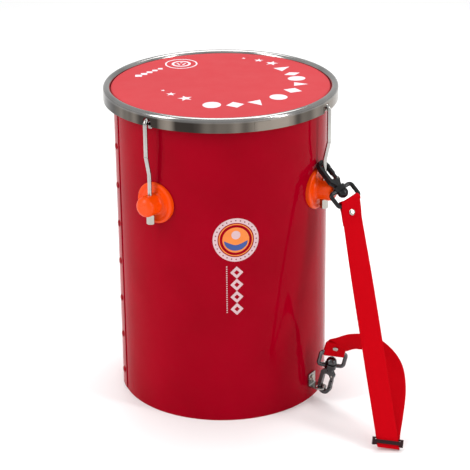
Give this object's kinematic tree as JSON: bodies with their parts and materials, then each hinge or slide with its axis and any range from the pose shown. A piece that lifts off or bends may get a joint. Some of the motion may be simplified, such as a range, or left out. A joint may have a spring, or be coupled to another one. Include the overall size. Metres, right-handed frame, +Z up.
{
  "type": "tom tom drum",
  "caption": "Child's single-headed hand drum: glossy red steel shell, red head under a polished hoop, hook rods with orange lugs, and a red carrying strap on black snap hooks.",
  "frame": {"origin": "centre of the open bottom, on the plane the rim stands on", "axes": "+Z up along the shell's axis; -Y towards the front, where the shell's decal is; +X towards the side with the strap"},
  "size_m": [0.2824, 0.2778, 0.3073],
  "materials": {
    "red_enamel": "gloss",
    "orange_enamel": "gloss",
    "stainless": "polished",
    "zinc_steel": "satin",
    "nickel": "polished",
    "aluminium": "satin",
    "black_metal": "gloss",
    "black_plastic": "gloss",
    "red_film": "satin",
    "pale_vinyl": "gloss",
    "red_webbing": "woven"
  },
  "bodies": {
    "drum": {"shell": "red_enamel", "seam_rivets": "red_enamel", "shell_decal": "pale_vinyl", "drum_head": "red_film", "lug_1": "orange_enamel", "lug_2": "orange_enamel", "lug_3": "orange_enamel", "lug_4": "orange_enamel", "lug_screws": "zinc_steel", "lug_washers": "zinc_steel", "strap_anchor": "zinc_steel", "anchor_rivet": "nickel", "upper_eye": "black_metal", "upper_strap_rivet": "nickel", "lower_eye": "black_metal", "lower_strap_rivet": "nickel", "strap_front": "red_webbing", "strap_rear": "red_webbing", "slider": "black_plastic"},
    "hoop": {"counter_hoop": "stainless", "flesh_hoop": "aluminium", "hoop_wire": "stainless", "tension_hook_1": "zinc_steel", "tension_hook_2": "zinc_steel", "tension_hook_3": "zinc_steel", "tension_hook_4": "zinc_steel"},
    "nut_1": {"tension_nut_1": "nickel"},
    "nut_2": {"tension_nut_2": "nickel"},
    "nut_3": {"tension_nut_3": "nickel"},
    "nut_4": {"tension_nut_4": "nickel"},
    "upper_snap": {"upper_hook": "black_metal", "upper_gate_pin": "nickel"},
    "upper_latch": {"upper_gate": "black_metal"},
    "lower_snap": {"lower_hook": "black_metal", "lower_gate_pin": "nickel"},
    "lower_latch": {"lower_gate": "black_metal"}
  },
  "joints": [
    {"name": "tune_hoop", "type": "slide", "parent": "drum", "child": "hoop", "axis": [0, 0, -1], "range_m": [0, 0.002], "deforming": ["drum_head"]},
    {"name": "turn_nut_1", "type": "hinge", "parent": "drum", "child": "nut_1", "pos_m": [-0.06525, -0.08818, 0.2037], "axis": [0, 0, -1], "range_deg": [0, 900]},
    {"name": "turn_nut_2", "type": "hinge", "parent": "drum", "child": "nut_2", "pos_m": [0.09641, -0.05234, 0.2037], "axis": [0, 0, -1], "range_deg": [0, 900]},
    {"name": "turn_nut_3", "type": "hinge", "parent": "drum", "child": "nut_3", "pos_m": [0.05485, 0.095, 0.2037], "axis": [0, 0, -1], "range_deg": [0, 900]},
    {"name": "turn_nut_4", "type": "hinge", "parent": "drum", "child": "nut_4", "pos_m": [-0.08644, 0.06754, 0.2037], "axis": [0, 0, -1], "range_deg": [0, 900]},
    {"name": "swivel_upper", "type": "hinge", "parent": "drum", "child": "upper_snap", "pos_m": [0.11291, -0.06524, 0.21914], "axis": [0.5856, -0.4575, -0.6691], "range_deg": [-6, 6]},
    {"name": "latch_upper", "type": "hinge", "parent": "upper_snap", "child": "upper_latch", "pos_m": [0.10756, -0.05471, 0.22878], "axis": [0.5273, -0.412, 0.7431], "range_deg": [0, 5], "stiffness_Nm_per_rad": 0.02, "springref_deg": -11.46},
    {"name": "swivel_lower", "type": "hinge", "parent": "drum", "child": "lower_snap", "pos_m": [0.10452, -0.06787, 0.04481], "axis": [0.2029, -0.1318, 0.9703], "range_deg": [-8, 8]},
    {"name": "latch_lower", "type": "hinge", "parent": "lower_snap", "child": "lower_latch", "pos_m": [0.10566, -0.06862, 0.02963], "axis": [0.5446, 0.8387, 0], "range_deg": [0, 12], "stiffness_Nm_per_rad": 0.02, "springref_deg": -11.46}
  ],
  "couplings": [
    {"joint": "turn_nut_1", "follows": "tune_hoop", "rad_per_m": 7854},
    {"joint": "turn_nut_2", "follows": "tune_hoop", "rad_per_m": 7854},
    {"joint": "turn_nut_3", "follows": "tune_hoop", "rad_per_m": 7854},
    {"joint": "turn_nut_4", "follows": "tune_hoop", "rad_per_m": 7854}
  ]
}
